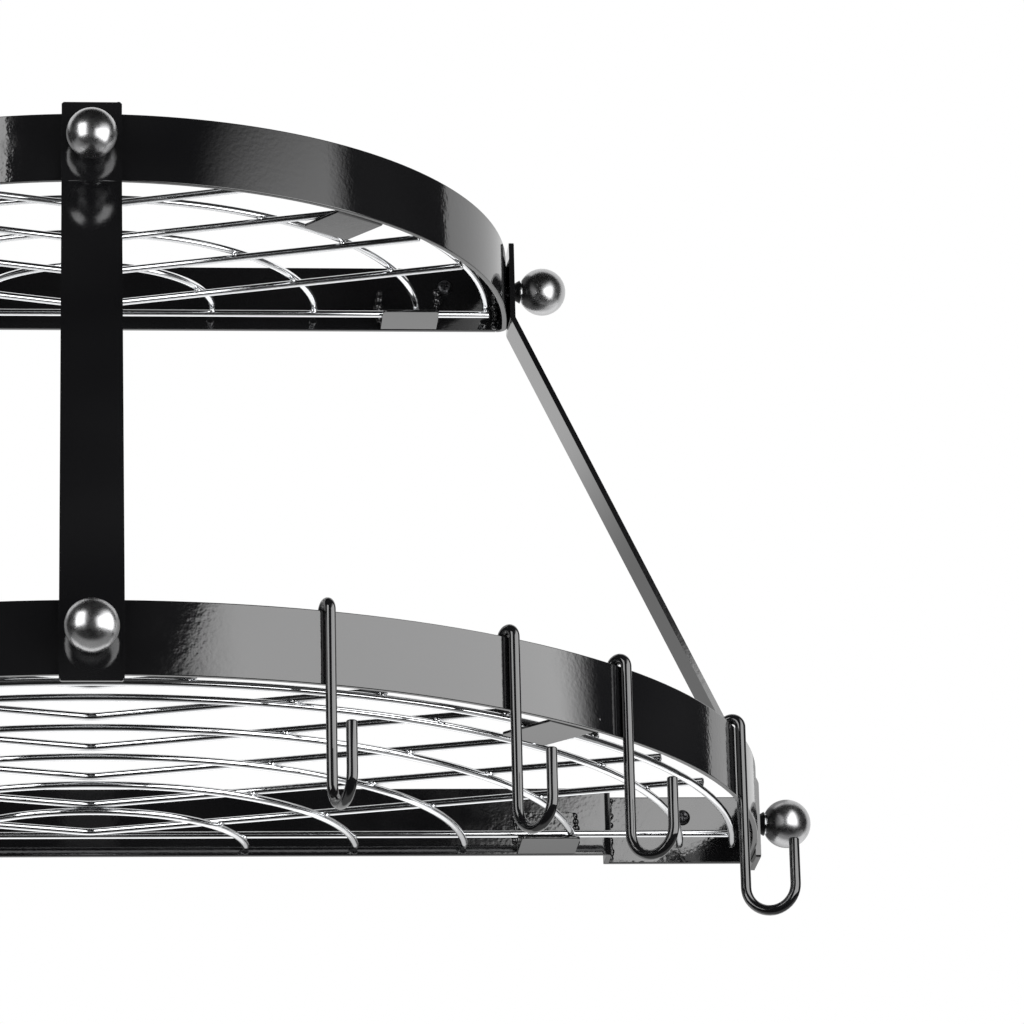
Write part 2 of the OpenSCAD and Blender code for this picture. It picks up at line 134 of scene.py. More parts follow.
lens = bpy.data.cameras.new("camera")
lens.sensor_width = SENSOR_WIDTH
lens.lens = FOCAL_LENGTH / PHOTO_WIDTH * SENSOR_WIDTH
camera = bpy.data.objects.new("camera", lens)
camera.matrix_world = Matrix.Translation(Vector(CAMERA_AT) * MM) @ camera_axes(
    CAMERA_PITCH, CAMERA_YAW, CAMERA_ROLL
).to_4x4()
scene.collection.objects.link(camera)
scene.camera = camera

floor_corners = [
    (x * FLOOR_HALF, y * FLOOR_HALF, FLOOR_HEIGHT) for x, y in ((-1, -1), (1, -1), (1, 1), (-1, 1))
]
floor = shown("floor", mesh_of("floor", floor_corners, faces=[(0, 1, 2, 3)]))
pale_floor, tree, shader, place = new_finish(
    "pale_floor", Roughness=FLOOR_ROUGHNESS, Emission_Color=(1, 1, 1, 1)
)
rays = node(tree, "ShaderNodeLightPath")
off_wall = node(tree, "ShaderNodeSeparateXYZ", {0: place}).outputs["Y"]
in_front = spread(tree, off_wall, 0.0, 1.0, DARK_FROM * MM, DARK_TO * MM)
seen_in_metal = times(tree, rays.outputs["Is Glossy Ray"], in_front)
floor_tone = mixed(tree, seen_in_metal, FLOOR_TONE, DARK_TONE)
tree.links.new(floor_tone, shader.inputs["Base Color"])
lifted = times(tree, rays.outputs["Is Camera Ray"], FLOOR_LIFT)
tree.links.new(lifted, shader.inputs["Emission Strength"])
floor.data.materials.append(pale_floor)


def faded(lamp, place, turn, width, height, fades):
    """Lets a panel's light die away towards some of its edges, as a cloth front does."""
    ways = {"left": (-1, 0, 0), "right": (1, 0, 0), "top": (0, 1, 0), "bottom": (0, -1, 0)}
    lamp.use_nodes = True
    tree = lamp.node_tree
    spot = node(tree, "ShaderNodeNewGeometry").outputs["Position"]
    across = node(tree, "ShaderNodeVectorMath", {0: spot, 1: place}, operation="SUBTRACT")
    strength = 1.0
    for side, reach in fades.items():
        edge = (width if side in ("left", "right") else height) // 2
        along = node(
            tree,
            "ShaderNodeVectorMath",
            {0: across.outputs[0], 1: turn @ Vector(ways[side])},
            operation="DOT_PRODUCT",
        )
        fade = node(
            tree,
            "ShaderNodeMapRange",
            {
                "Value": along.outputs["Value"],
                "From Min": edge * MM,
                "From Max": (edge - reach) * MM,
            },
            interpolation_type="SMOOTHSTEP",
        )
        strength = times(tree, fade.outputs[0], strength)
    tree.links.new(strength, tree.nodes["Emission"].inputs["Strength"])


def softbox(name, at, towards, width, height, radiance, roll=0, fades=None):
    """A panel of light. Its brightness in a reflection is the radiance."""
    lamp = bpy.data.lights.new(name, "AREA")
    lamp.shape = "RECTANGLE"
    lamp.size = width * MM
    lamp.size_y = height * MM
    lamp.energy = radiance * math.pi * width * height * MM * MM
    holder = bpy.data.objects.new(name, lamp)
    place = Vector(at) * MM
    facing = (Vector(towards) * MM - place).to_track_quat("-Z", "Y").to_matrix()
    turn = facing @ Matrix.Rotation(math.radians(roll), 3, "Z")
    holder.matrix_world = Matrix.Translation(place) @ turn.to_4x4()
    if fades:
        faded(lamp, place, turn, width, height, fades)
    holder.visible_camera = False
    scene.collection.objects.link(holder)


def board(name, x, off_wall, height, wide, high, radiance, fades=None):
    """A white board behind the wall plane, square to it, that the metal reflects."""
    at, towards = (x, off_wall, height), (x, -1000, height)
    softbox(name, at, towards, wide, high, radiance, fades=fades)


softbox(
    "key_softbox",
    at=(452, -861, -258),
    towards=(-21, -699, -258),
    width=1287,
    height=603,
    radiance=3.6,
    roll=10,
    fades={"left": 490, "top": 45, "right": 100},
)
softbox(
    "key_spill",
    at=(517, -672, 213),
    towards=(44, -510, 213),
    width=730,
    height=300,
    radiance=1.5,
    roll=10,
    fades={"left": 300, "top": 240, "right": 100},
)
softbox(
    "left_softbox", at=(-700, -980, 0), towards=(0, -240, 0), width=680, height=1000, radiance=3.5
)
board("board_above", 0, 42, 215, 1200, 770, 1.05, {"bottom": 140})
board("board_beside", 500, 42, -365, 200, 470, 1.0)
board("board_between", -100, 46, -220, 1000, 370, 0.38, {"top": 70, "bottom": 50})
board("board_below", -100, 50, -620, 1000, 580, 0.95, {"top": 110})

# White for the camera, and a dim room for the metal's reflections.
world = bpy.data.worlds.new("studio")
world.use_nodes = True
scene.world = world
sky = world.node_tree
sky.nodes.clear()
rays = node(sky, "ShaderNodeLightPath")
mirror_ray = node(
    sky,
    "ShaderNodeMath",
    {0: rays.outputs["Is Glossy Ray"], 1: rays.outputs["Is Transmission Ray"]},
    operation="MAXIMUM",
)
plain_or_mirror = node(
    sky, "ShaderNodeMix", {0: mirror_ray.outputs[0], 2: ROOM_LIGHT, 3: ROOM_IN_METAL}
)
strength = node(
    sky, "ShaderNodeMix", {0: rays.outputs["Is Camera Ray"], 2: plain_or_mirror.outputs[0], 3: 1.0}
)
glow = node(sky, "ShaderNodeBackground", {"Color": (1, 1, 1, 1), "Strength": strength.outputs[0]})
node(sky, "ShaderNodeOutputWorld", {"Surface": glow.outputs[0]})


# Upper tier: band and back bar
# One flat steel bar, standing on edge, is bent to a half circle, and a straight one joins its
# corners at the wall. They are drilled, welded inside the corners and enamelled gloss black.
BAR_HEIGHT = 38
BAR_THICK = 3
EDGE_ROUND = 0.6
CORNER_RADIUS = 6
UPPER_UNDERSIDE = -26
UPPER_RADIUS = 238.5
ARC_STEP = math.radians(2)
CORNER_STEP = math.radians(9)
BOLT_HOLE = 6.2
SCREW_HOLE = 5
UPPER_SCREW_X = 203.2
SIDE_POST_Y = -16
# How far a drill reaches to either side of its mark, through a curved band and a flat bar
BAND_DRILL, BAR_DRILL = 12, 8
# The grain of a weld's skin, and how far a drop strays from its seam
WELD_VOXEL = 0.45
DROP_DRIFT = 0.8
ENAMEL_BLACK = (0.004, 0.004, 0.0045, 1)
ENAMEL_SOFTER = (0.007, 0.007, 0.0075, 1)
GLOSS_BLACK_IOR = 1.8


def grain(tree, place, per_metre, detail=2.0, rough=0.5):
    return node(
        tree,
        "ShaderNodeTexNoise",
        {"Vector": place, "Scale": per_metre, "Detail": detail, "Roughness": rough},
    ).outputs["Fac"]


def bumps(tree, height, strength, depth, under=None):
    links = {"Height": height, "Strength": strength, "Distance": depth * MM}
    if under is not None:
        links["Normal"] = under
    return node(tree, "ShaderNodeBump", links).outputs["Normal"]


def black_enamel(name, peel_strength, pit_strength):
    """Gloss enamel: an orange peel all over, with coarser pitting in patches."""
    finish, tree, shader, place = new_finish(name, IOR=GLOSS_BLACK_IOR)
    cloud = grain(tree, place, 14, 1.0)
    tint = mixed(tree, spread(tree, cloud, 0.0, 1.0), ENAMEL_BLACK, ENAMEL_SOFTER)
    tree.links.new(tint, shader.inputs["Base Color"])
    tree.links.new(spread(tree, grain(tree, place, 60), 0.05, 0.1), shader.inputs["Roughness"])
    peel = bumps(tree, grain(tree, place, 420, 1.0), peel_strength, 0.035)
    pitting = bumps(
        tree,
        grain(tree, place, 210, 3.0, 0.55),
        spread(tree, cloud, 0.05, pit_strength, 0.42, 0.62),
        0.09,
        peel,
    )
    tree.links.new(pitting, shader.inputs["Normal"])
    return finish


enamel = black_enamel("black_enamel", 0.8, 0.5)
bar_enamel = black_enamel("black_enamel_on_bars", 0.4, 0.16)


def geometry_tree(name, ports):
    tree = bpy.data.node_groups.new(name, "GeometryNodeTree")
    tree.interface.new_socket(name="Result", in_out="OUTPUT", socket_type="NodeSocketGeometry")
    for port, kind in ports.items():
        tree.interface.new_socket(name=port, in_out="INPUT", socket_type=f"NodeSocket{kind}")
    entry = tree.nodes.new("NodeGroupInput")
    return tree, entry.outputs


def close_tree(tree, shape, finish):
    loose = node(tree, "GeometryNodeRealizeInstances", {0: shape})
    dressed = node(tree, "GeometryNodeSetMaterial", {0: loose.outputs[0], "Material": finish})
    node(tree, "NodeGroupOutput", {0: dressed.outputs[0]})


def plain_mesh(thing):
    """Bakes an object's modifiers into its mesh."""
    made = bpy.data.meshes.new_from_object(
        thing.evaluated_get(bpy.context.evaluated_depsgraph_get())
    )
    thing.modifiers.clear()
    thing.data = made
    return thing


def grown(name, tree, start, values):
    """Runs a geometry tree on a mesh, with its inputs given by name, and keeps the result."""
    thing = shown(name, start)
    step = thing.modifiers.new("grow", "NODES")
    step.node_group = tree
    for item in tree.interface.items_tree:
        if item.in_out == "INPUT" and item.name in values:
            step[item.identifier] = values[item.name]
    return plain_mesh(thing)


def flat_bar_tree():
    """A flat bar on edge, swept along a level centre line, with its long edges rounded."""
    tree, given = geometry_tree(
        "flat bar on edge",
        {
            "Centre line": "Geometry",
            "Height": "Float",
            "Thickness": "Float",
            "Edge round": "Float",
            "Finish": "Material",
        },
    )
    line = node(tree, "GeometryNodeMeshToCurve", {"Mesh": given["Centre line"]})
    upright = node(tree, "GeometryNodeSetCurveNormal", {"Curve": line.outputs[0]}, mode="Z_UP")
    section = node(
        tree,
        "GeometryNodeCurvePrimitiveQuadrilateral",
        {"Width": given["Thickness"], "Height": given["Height"]},
    )
    soft = node(
        tree,
        "GeometryNodeFilletCurve",
        {"Curve": section.outputs[0], "Count": 3, "Radius": given["Edge round"]},
        mode="POLY",
    )
    swept = node(
        tree,
        "GeometryNodeCurveToMesh",
        {"Curve": upright.outputs[0], "Profile Curve": soft.outputs[0], "Fill Caps": True},
    )
    close_tree(tree, swept.outputs[0], given["Finish"])
    return tree


flat_bar = flat_bar_tree()


def arc(centre, radius, start, end, count):
    """Points round an arc, from one angle in degrees to another, both included."""
    angles = [math.radians(start + (end - start) * i / count) for i in range(count + 1)]
    return [(centre[0] + radius * math.cos(a), centre[1] + radius * math.sin(a)) for a in angles]


def arc_points(centre, radius, start, end, step=ARC_STEP):
    """An arc whose points are no more than a step apart."""
    count = max(2, math.ceil(abs(math.radians(end - start)) / step))
    return arc(centre, radius, start, end, count)


def line_mesh(name, runs, height=0.0):
    """Open lines of points in plan, at one height, or of points in space."""
    points, edges = [], []
    for run in runs:
        first = len(points)
        points += [tuple(p) if len(p) == 3 else (p[0], p[1], height) for p in run]
        edges += [(i, i + 1) for i in range(first, len(points) - 1)]
    return mesh_of(name, points, edges)


def bent_bar(name, run, underside, finish=enamel):
    """Bar on edge along a line in plan, given the height of its lower edge."""
    return grown(
        name,
        flat_bar,
        line_mesh(name, [run], underside + BAR_HEIGHT / 2),
        {
            "Height": BAR_HEIGHT * MM,
            "Thickness": BAR_THICK * MM,
            "Edge round": EDGE_ROUND * MM,
            "Finish": finish,
        },
    )


def turned(name, profile, sides=40):
    """A turned shape about Z, from a closed profile of (radius, height)."""
    work = bmesh.new()
    line = [work.verts.new(Vector((r, 0, z)) * MM) for r, z in profile]
    edges = [work.edges.new(pair) for pair in zip(line, line[1:])]
    bmesh.ops.spin(
        work,
        geom=line + edges,
        cent=(0, 0, 0),
        axis=(0, 0, 1),
        angle=math.tau,
        steps=sides,
        use_merge=True,
    )
    bmesh.ops.remove_doubles(work, verts=work.verts, dist=1e-6)
    bmesh.ops.recalc_face_normals(work, faces=work.faces)
    mesh = bpy.data.meshes.new(name)
    work.to_mesh(mesh)
    work.free()
    return mesh


def at_post(tier_underside, face, side):
    """The place of a strap's fastening: Z runs outward, and z = 0 is the strap's inside face."""
    height = tier_underside + BAR_HEIGHT / 2
    if side == 0:
        turn = Matrix.Rotation(math.radians(90), 4, "X")
        return Matrix.Translation(Vector((0, -face, height)) * MM) @ turn
    turn = Matrix.Rotation(math.radians(90 * side), 4, "Y")
    return Matrix.Translation(Vector((side * face, SIDE_POST_Y, height)) * MM) @ turn


def at_wall(x, height):
    """The place of a wall screw: Z runs into the wall, and z = 0 is the wall face."""
    turn = Matrix.Rotation(math.radians(-90), 4, "X")
    return Matrix.Translation(Vector((x, 0, height)) * MM) @ turn


def carved(thing, tool_mesh, operation="DIFFERENCE"):
    """Cuts a piece with a closed tool shape, or keeps only what lies inside the tool."""
    tool = shown("tool", tool_mesh)
    cut = thing.modifiers.new("cut", "BOOLEAN")
    cut.operation = operation
    cut.solver = "EXACT"
    cut.object = tool
    plain_mesh(thing)
    bpy.data.objects.remove(tool)


def drilled(thing, holes):
    """Cuts round holes, each given by its place, diameter and reach to either side."""
    for place, wide, reach in holes:
        profile = [(0, -reach), (wide / 2, -reach), (wide / 2, reach), (0, reach)]
        drill = turned("drill", profile)
        drill.transform(place)
        carved(thing, drill)


def eased(thing, width=0.4, sharper_than=50, rings=2):
    """Rounds the edges that are sharper than an angle, and evens the shading of flat faces."""
    ease = thing.modifiers.new("ease", "BEVEL")
    ease.width = width * MM
    ease.segments = rings
    ease.limit_method = "ANGLE"
    ease.angle_limit = math.radians(sharper_than)
    ease.use_clamp_overlap = False
    return smoothed(thing)


def smoothed(thing):
    thing.data.shade_smooth()
    even = thing.modifiers.new("even", "WEIGHTED_NORMAL")
    even.weight = 80
    return plain_mesh(thing)


def dressed(thing, body, slot, *nodes):
    """Says what a piece moves with, and which solids it stands for. The slot, the name of its
    finish, is not used.
    """
    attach(thing, body)
    if nodes:
        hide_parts(*nodes)


def weld_tree():
    """A bead of weld: overlapping drops of metal along a line, melted into one skin."""
    tree, given = geometry_tree(
        "weld bead",
        {
            "Seam": "Geometry",
            "Drop spacing": "Float",
            "Drop radius": "Float",
            "Seed": "Int",
            "Finish": "Material",
        },
    )
    line = node(tree, "GeometryNodeMeshToCurve", {"Mesh": given["Seam"]})
    along = node(
        tree,
        "GeometryNodeCurveToPoints",
        {"Curve": line.outputs[0], "Length": given["Drop spacing"]},
        mode="LENGTH",
    )
    drift = node(
        tree,
        "FunctionNodeRandomValue",
        {0: (-DROP_DRIFT * MM,) * 3, 1: (DROP_DRIFT * MM,) * 3, "Seed": given["Seed"]},
        data_type="FLOAT_VECTOR",
    )
    moved = node(
        tree, "GeometryNodeSetPosition", {"Geometry": along.outputs[0], "Offset": drift.outputs[0]}
    )
    size = node(tree, "FunctionNodeRandomValue", {2: 0.7, 3: 1.15, "Seed": given["Seed"]})
    girth = times(tree, size.outputs[1], given["Drop radius"])
    drop = node(tree, "GeometryNodeMeshIcoSphere", {"Radius": 1.0, "Subdivisions": 2})
    drops = node(
        tree,
        "GeometryNodeInstanceOnPoints",
        {"Points": moved.outputs[0], "Instance": drop.outputs[0], "Scale": girth},
    )
    close_tree(tree, drops.outputs[0], given["Finish"])
    return tree


weld_bead = weld_tree()


def welded(name, seams, radius, pitch, seed):
    """Weld beads along seams of points in space, remeshed to one soft bumpy skin."""
    bead = grown(
        name,
        weld_bead,
        line_mesh(name, seams),
        {
            "Drop spacing": pitch * MM,
            "Drop radius": radius * MM,
            "Seed": seed,
            "Finish": enamel,
        },
    )
    skin = bead.modifiers.new("skin", "REMESH")
    skin.mode = "VOXEL"
    skin.voxel_size = WELD_VOXEL * MM
    skin.use_smooth_shade = True
    melt = bead.modifiers.new("melt", "SMOOTH")
    melt.iterations = 1
    plain_mesh(bead)
    bead.data.materials.clear()
    bead.data.materials.append(enamel)
    return bead


def both_halves(right_half):
    """A line that ends on the middle, carried on as its own mirror image."""
    return right_half + [(-x, y) for x, y in reversed(right_half[:-1])]


upper_mid = UPPER_RADIUS - BAR_THICK / 2
corner_mid = CORNER_RADIUS - BAR_THICK / 2
upper_corner_x = UPPER_RADIUS - CORNER_RADIUS
# The band's curve stops where its corner begins, level with the corner's centre
band_stop = math.degrees(math.asin(CORNER_RADIUS / upper_mid))
right_half = (
    arc_points((upper_corner_x, -CORNER_RADIUS), corner_mid, 90, 0, CORNER_STEP)
    + arc_points((0, 0), upper_mid, -band_stop, -90)[1:]
)
upper_run = both_halves(right_half)
upper_band = bent_bar("upper_band_bar", upper_run, UPPER_UNDERSIDE)
drilled(
    upper_band,
    [
        (at_post(UPPER_UNDERSIDE, UPPER_RADIUS, side), BOLT_HOLE, BAND_DRILL)
        for side in (-1, 0, 1)
    ],
)
dressed(eased(upper_band), "frame", "black_enamel", "upper_band")

upper_bar = bent_bar(
    "upper_back_bar_steel",
    [(x, -BAR_THICK / 2) for x in (-upper_corner_x, 0, upper_corner_x)],
    UPPER_UNDERSIDE,
    finish=bar_enamel,
)
drilled(
    upper_bar, [(at_wall(side * UPPER_SCREW_X, 0), SCREW_HOLE, BAR_DRILL) for side in (-1, 1)]
)
dressed(eased(upper_bar), "frame", "black_enamel", "upper_back_bar")


# Lower tier: band and back bar
# The larger band runs straight back to the wall and turns inward as two screw tabs. Its back
# bar stands off the wall on two short legs, which are welded to the inner ends of the tabs.
LOWER_UNDERSIDE = -341
LOWER_RADIUS = 368
END_RUN = 20
TAB_END = 286
LOWER_SCREW_X = 331
LOWER_SCREW_HEIGHT = -315
BACK_GAP = 20
# Points along the straight stretches of tab, leg and back bar
TAB_MIDDLE, LEG_MIDDLE, BACK_BAR_POINT = 330, 12, 200

lower_mid = LOWER_RADIUS - BAR_THICK / 2
lower_corner_x = LOWER_RADIUS - CORNER_RADIUS
right_half = (
    [(TAB_END, -BAR_THICK / 2), (TAB_MIDDLE, -BAR_THICK / 2)]
    + arc_points((lower_corner_x, -CORNER_RADIUS), corner_mid, 90, 0, CORNER_STEP)
    + arc_points((0, -END_RUN), lower_mid, 0, -90)
)
lower_run = both_halves(right_half)
lower_band = bent_bar("lower_band_bar", lower_run, LOWER_UNDERSIDE)
drilled(
    lower_band,
    [
        (at_post(LOWER_UNDERSIDE, LOWER_RADIUS, -1), BOLT_HOLE, BAND_DRILL),
        (at_post(LOWER_UNDERSIDE, LOWER_RADIUS, 1), BOLT_HOLE, BAND_DRILL),
        (at_post(LOWER_UNDERSIDE, LOWER_RADIUS + END_RUN, 0), BOLT_HOLE, BAND_DRILL),
        (at_wall(-LOWER_SCREW_X, LOWER_SCREW_HEIGHT), SCREW_HOLE, BAR_DRILL),
        (at_wall(LOWER_SCREW_X, LOWER_SCREW_HEIGHT), SCREW_HOLE, BAR_DRILL),
    ],
)
dressed(eased(lower_band), "frame", "black_enamel", "lower_band")

leg_mid = TAB_END + BAR_THICK / 2
back_mid = -BACK_GAP - BAR_THICK / 2
right_half = (
    [(leg_mid, -BAR_THICK), (leg_mid, -LEG_MIDDLE)]
    + arc_points((leg_mid - corner_mid, back_mid + corner_mid), corner_mid, 0, -90, CORNER_STEP)
    + [(BACK_BAR_POINT, back_mid), (0, back_mid)]
)
lower_bar = bent_bar(
    "lower_back_bar_steel", both_halves(right_half), LOWER_UNDERSIDE, finish=bar_enamel
)
dressed(eased(lower_bar), "frame", "black_enamel", "lower_back_bar")


# Straps
# Three lengths of narrower bar stand outside the bands and slope between the tiers. Each is
# cut with eased corners, bent twice over a soft-edged former, and drilled for two bolts.
STRAP_WIDE = 32
STRAP_TOP, STRAP_FOOT = 17.5, -345
STRAP_UPPER_BEND, STRAP_LOWER_BEND = -28.5, -303
STRAP_CORNER_CUT = 1
STRAP_BEND_INSIDE = 2.5
BEND_STEPS = 6
# The sweep leaves the long edges sharp, and eased() rounds them with the rest
SHARP = 0.01


def strap_run(face_up, face_low):
    """The strap's centre line seen from its side: (distance outward, height)."""
    half = BAR_THICK / 2
    slope = math.atan2(face_low - face_up, STRAP_UPPER_BEND - STRAP_LOWER_BEND)
    lift = half * math.tan(slope / 2)
    mid_radius = STRAP_BEND_INSIDE + half
    back_off = mid_radius * math.tan(slope / 2)
    points = [(face_up + half, STRAP_TOP)]
    # way 1 turns from upright to sloping, and way -1 back to upright
    for face, bend, way in ((face_up, STRAP_UPPER_BEND, 1), (face_low, STRAP_LOWER_BEND, -1)):
        centre_x = face + half + way * mid_radius
        centre_y = bend + lift + way * back_off
        for i in range(BEND_STEPS + 1):
            part = i / BEND_STEPS if way > 0 else 1 - i / BEND_STEPS
            angle = slope * part
            points.append(
                (
                    centre_x - way * mid_radius * math.cos(angle),
                    centre_y - way * mid_radius * math.sin(angle),
                )
            )
    return [*points, (face_low + half, STRAP_FOOT)]


def prism(name, near, far):
    """A closed shape between two outlines that have as many points each."""
    count = len(near)
    faces = [tuple(range(count)), tuple(reversed(range(count, 2 * count)))]
    faces += [(i, i + count, (i + 1) % count + count, (i + 1) % count) for i in range(count)]
    mesh = mesh_of(name, [*near, *far], faces=faces)
    work = bmesh.new()
    work.from_mesh(mesh)
    bmesh.ops.recalc_face_normals(work, faces=work.faces)
    work.to_mesh(mesh)
    work.free()
    return mesh


def strap_blank(near, far):
    """The block that a strap is cut from: its outline with small corners taken off."""
    half, cut = STRAP_WIDE / 2, STRAP_CORNER_CUT
    outline = [
        (STRAP_FOOT, -half + cut), (STRAP_FOOT + cut, -half), (STRAP_TOP - cut, -half),
        (STRAP_TOP, -half + cut), (STRAP_TOP, half - cut), (STRAP_TOP - cut, half),
        (STRAP_FOOT + cut, half), (STRAP_FOOT, half - cut),
    ]
    return prism("blank", *([(x, y, z) for y, z in outline] for x in (near, far)))


def strap(side_name, side):
    """Swept lying down, cut at the corners, then stood up at its side of the rack."""
    face_up = UPPER_RADIUS
    face_low = LOWER_RADIUS + (END_RUN if side == 0 else 0)
    bar = grown(
        f"{side_name}_strap_steel",
        flat_bar,
        line_mesh(side_name, [strap_run(face_up, face_low)]),
        {
            "Height": STRAP_WIDE * MM,
            "Thickness": BAR_THICK * MM,
            "Edge round": SHARP * MM,
            "Finish": bar_enamel,
        },
    )
    carved(bar, strap_blank(face_up - 5, face_low + 10), "INTERSECT")
    stand = Matrix.Rotation(math.radians(90), 4, "X")
    turn = Matrix.Rotation(math.radians({-1: 180, 0: -90, 1: 0}[side]), 4, "Z")
    shift = Matrix.Translation(Vector((0, 0 if side == 0 else SIDE_POST_Y, 0)) * MM)
    bar.data.transform(shift @ turn @ stand)
    drilled(
        bar,
        [
            (at_post(UPPER_UNDERSIDE, face_up, side), BOLT_HOLE, BAR_DRILL),
            (at_post(LOWER_UNDERSIDE, face_low, side), BOLT_HOLE, BAR_DRILL),
        ],
    )
    dressed(eased(bar, 0.55, 40, 3), "frame", "black_enamel", f"{side_name}_strap")


strap("centre", 0)
strap("left", -1)
strap("right", 1)


# Ball fastenings
# A pan-head bolt runs from inside each band through the strap, a flared black washer and a
# thin bright ring into a solid satin-brushed steel ball, turned with a flat seat.
BALL_RADIUS = 13.5
BALL_SEAT = 13
WASHER_SMALL, WASHER_BIG, WASHER_LONG = 9, 13.5, 4
RING_WIDE, RING_THICK = 12.5, 1
BOLT_WIDE = 6
BOLT_IN_BALL = 12
BOLT_HEAD, BOLT_HEAD_HIGH = 9, 2.6
# Depth of each bolt head's seat behind the strap's inside face
CENTRE_SEAT, SIDE_SEAT = 3.15, 3.65
SATIN_GREY, SATIN_PALER = (0.36, 0.36, 0.365, 1), (0.5, 0.5, 0.505, 1)
CHROME_GREY, CHROME_PALER = (0.80, 0.81, 0.83, 1), (0.88, 0.89, 0.9, 1)
SCREW_GREY, SCREW_PALER = (0.06, 0.06, 0.065, 1), (0.11, 0.11, 0.115, 1)


def mottled(name, tones, patches, gloss, relief, **constants):
    """A finish whose tone, roughness and relief vary a little from place to place.

    patches is the grain of the tone, gloss the roughness's grain and its two ends, and relief
    the bumps' grain, strength and depth.
    """
    finish, tree, shader, place = new_finish(name, **constants)
    tint = mixed(tree, grain(tree, place, *patches), *tones)
    tree.links.new(tint, shader.inputs["Base Color"])
    gloss_grain, smooth, rough = gloss
    roughness = spread(tree, grain(tree, place, gloss_grain), smooth, rough)
    tree.links.new(roughness, shader.inputs["Roughness"])
    relief_grain, strength, depth = relief
    raised = bumps(tree, grain(tree, place, *relief_grain), strength, depth)
    tree.links.new(raised, shader.inputs["Normal"])
    return finish


# Brushed stainless steel for the balls, bright chrome plate over drawn wire, and dark oiled
# steel for the bolts and wall screws
satin = mottled(
    "satin_steel",
    (SATIN_GREY, SATIN_PALER),
    (90, 3.0),
    (400, 0.25, 0.31),
    ((300, 2.0), 0.06, 0.015),
    Metallic=1.0,
)
bright = mottled(
    "chrome",
    (CHROME_GREY, CHROME_PALER),
    (120, 2.0),
    (300, 0.05, 0.13),
    ((260, 1.0), 0.2, 0.03),
    Metallic=1.0,
)
dark = mottled(
    "dark_plating",
    (SCREW_GREY, SCREW_PALER),
    (500, 2.0),
    (900, 0.28, 0.45),
    ((1500, 2.0), 0.2, 0.02),
    Metallic=1.0,
)


def placing_tree():
    """Puts one made part at every point, turned as the point says."""
    tree, given = geometry_tree(
        "one part at each place", {"Places": "Geometry", "Part": "Object", "Finish": "Material"}
    )
    part = node(tree, "GeometryNodeObjectInfo", {"Object": given["Part"]})
    turn = node(
        tree, "GeometryNodeInputNamedAttribute", {"Name": "turn"}, data_type="FLOAT_VECTOR"
    )
    put = node(
        tree,
        "GeometryNodeInstanceOnPoints",
        {
            "Points": given["Places"],
            "Instance": part.outputs["Geometry"],
            "Rotation": turn.outputs[0],
        },
    )
    close_tree(tree, put.outputs[0], given["Finish"])
    return tree


placing = placing_tree()


def placed(name, part_mesh, places, finish):
    """One mesh holding a copy of a part at each place."""
    part = shown("part", part_mesh)
    points = bpy.data.meshes.new(name)
    points.from_pydata([place.to_translation() for place in places], [], [])
    turn = points.attributes.new("turn", "FLOAT_VECTOR", "POINT")
    for slot, place in zip(turn.data, places):
        slot.vector = place.to_euler()
    made = grown(name, placing, points, {"Part": part, "Finish": finish})
    bpy.data.objects.remove(part)
    return made


def upper_posts(shift=0.0):
    return [at_post(UPPER_UNDERSIDE, UPPER_RADIUS + shift, side) for side in (-1, 0, 1)]


def lower_posts(shift=0.0):
    return [
        at_post(LOWER_UNDERSIDE, LOWER_RADIUS + (END_RUN if side == 0 else 0) + shift, side)
        for side in (-1, 0, 1)
    ]


seat_angle = math.degrees(math.asin(BALL_SEAT / 2 / BALL_RADIUS))
ball_rise = BALL_RADIUS * math.cos(math.radians(seat_angle))
hole_round = BOLT_HOLE / 2
bore_end = BOLT_IN_BALL + 1
ball_mesh = turned(
    "ball",
    [(0, bore_end), (hole_round, bore_end), (hole_round, 0.3), (hole_round + 0.3, 0)]
    + arc((0, ball_rise), BALL_RADIUS, seat_angle - 90, 90, 40)[:-1]
    + [(0, ball_rise + BALL_RADIUS)],
    72,
)
washer_mesh = turned(
    "flared_washer",
    [
        (hole_round, 0), (WASHER_SMALL / 2 - 0.2, 0), (WASHER_SMALL / 2, 0.25),
        (WASHER_BIG / 2 - 0.12, WASHER_LONG - 0.35), (WASHER_BIG / 2, WASHER_LONG - 0.18),
        (WASHER_BIG / 2 - 0.12, WASHER_LONG), (hole_round, WASHER_LONG), (hole_round, 0),
    ],
    56,
)
ring_mesh = turned(
    "bright_ring",
    [(hole_round, 0), (RING_WIDE / 2 - 0.3, 0)]
    + arc((RING_WIDE / 2 - 0.5, RING_THICK / 2), 0.5, -60, 60, 6)
    + [(RING_WIDE / 2 - 0.3, RING_THICK), (hole_round, RING_THICK), (hole_round, 0)],
    56,
)


def pan_head(name, wide, high, below):
    """A domed head with a cross recess, and what hangs below it, turned in one."""
    r = wide / 2
    dome = [
        (0, high), (r * 0.3, high * 0.985), (r * 0.55, high * 0.93), (r * 0.75, high * 0.8),
        (r * 0.9, high * 0.6), (r * 0.98, high * 0.38), (r, high * 0.2), (r, 0.15), (r - 0.15, 0),
    ]
    head = shown(name, turned(name, dome + below, 48))
    for turn in (0, 90):
        arm = recess_arm(wide, high)
        arm.transform(Matrix.Rotation(math.radians(turn), 4, "Z"))
        carved(head, arm)
    eased(head, 0.12, 35)
    mesh = head.data
    bpy.data.objects.remove(head)
    return mesh


